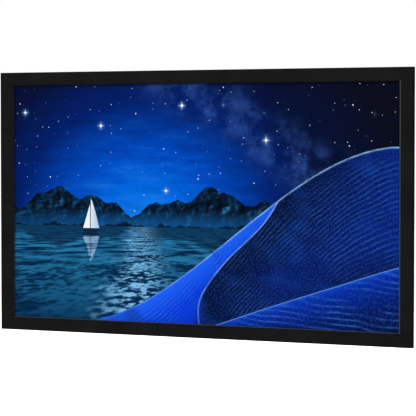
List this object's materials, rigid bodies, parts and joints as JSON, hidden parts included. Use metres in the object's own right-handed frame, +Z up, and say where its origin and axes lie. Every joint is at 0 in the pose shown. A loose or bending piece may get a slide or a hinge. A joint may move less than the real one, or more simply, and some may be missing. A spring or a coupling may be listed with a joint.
{
  "type": "fixed frame projector screen",
  "caption": "Wall-hung fixed frame projection screen: flat 16:9 screen stretched inside a deep mitred frame wrapped in black velvet, showing a blue night landscape.",
  "frame": {"origin": "centre of the whole part's box: middle of the picture across and up, halfway between the frame's front face and the wall", "axes": "+X to the viewer's right along the long side, +Y away from the viewer into the wall, +Z up"},
  "size_m": [2.589, 0.043, 1.524],
  "materials": {
    "velvet": "deep black velvet pile, matt, glued round the frame",
    "anodised_aluminium": "black anodised extrusion, satin, drawn lines along its length",
    "glass_fibre": "drawn glass fibre rod, off-white",
    "clip_plastic": "moulded black nylon, fine grain",
    "screen_fabric": "black backing of the stretched screen cloth, matt",
    "ink_sky": "night sky field on the cloth's matt white face",
    "ink_glow": "brighter blue field low in the sky",
    "ink_lake": "teal blue water field",
    "ink_ridge": "dark far ridge field",
    "ink_slope": "royal blue near slope field",
    "ink_boat": "small white sail field",
    "zinc_steel": "zinc plated steel",
    "bracket_steel": "black powder coated pressed steel"
  },
  "bodies": {
    "root": {"rail_top_left": "anodised_aluminium", "velvet_top_left": "velvet", "rail_top_right": "anodised_aluminium", "velvet_top_right": "velvet", "rail_bottom_left": "anodised_aluminium", "velvet_bottom_left": "velvet", "rail_bottom_right": "anodised_aluminium", "velvet_bottom_right": "velvet", "rail_left": "anodised_aluminium", "velvet_left": "velvet", "rail_right": "anodised_aluminium", "velvet_right": "velvet", "tension_rod_top": "glass_fibre", "tension_clip_top_1": "clip_plastic", "tension_clip_top_2": "clip_plastic", "tension_clip_top_3": "clip_plastic", "tension_clip_top_4": "clip_plastic", "tension_clip_top_5": "clip_plastic", "tension_clip_top_6": "clip_plastic", "tension_clip_top_7": "clip_plastic", "tension_clip_top_8": "clip_plastic", "tension_rod_right": "glass_fibre", "tension_clip_right_1": "clip_plastic", "tension_clip_right_2": "clip_plastic", "tension_clip_right_3": "clip_plastic", "tension_clip_right_4": "clip_plastic", "tension_rod_bottom": "glass_fibre", "tension_clip_bottom_1": "clip_plastic", "tension_clip_bottom_2": "clip_plastic", "tension_clip_bottom_3": "clip_plastic", "tension_clip_bottom_4": "clip_plastic", "tension_clip_bottom_5": "clip_plastic", "tension_clip_bottom_6": "clip_plastic", "tension_clip_bottom_7": "clip_plastic", "tension_clip_bottom_8": "clip_plastic", "tension_rod_left": "glass_fibre", "tension_clip_left_1": "clip_plastic", "tension_clip_left_2": "clip_plastic", "tension_clip_left_3": "clip_plastic", "tension_clip_left_4": "clip_plastic", "screen_sheet": "screen_fabric", "picture_sky": "ink_sky", "picture_glow": "ink_glow", "picture_lake": "ink_lake", "picture_ridge": "ink_ridge", "picture_slope": "ink_slope", "picture_boat": "ink_boat", "corner_bracket_top_left": "zinc_steel", "wall_bracket_top_left": "bracket_steel", "corner_bracket_top_right": "zinc_steel", "wall_bracket_top_right": "bracket_steel", "corner_bracket_bottom_left": "zinc_steel", "wall_bracket_bottom_left": "bracket_steel", "corner_bracket_bottom_right": "zinc_steel", "wall_bracket_bottom_right": "bracket_steel", "splice_bar_top": "zinc_steel", "support_clamp_top": "zinc_steel", "splice_bar_bottom": "zinc_steel", "support_clamp_bottom": "zinc_steel", "support_bar": "anodised_aluminium"}
  },
  "joints": []
}
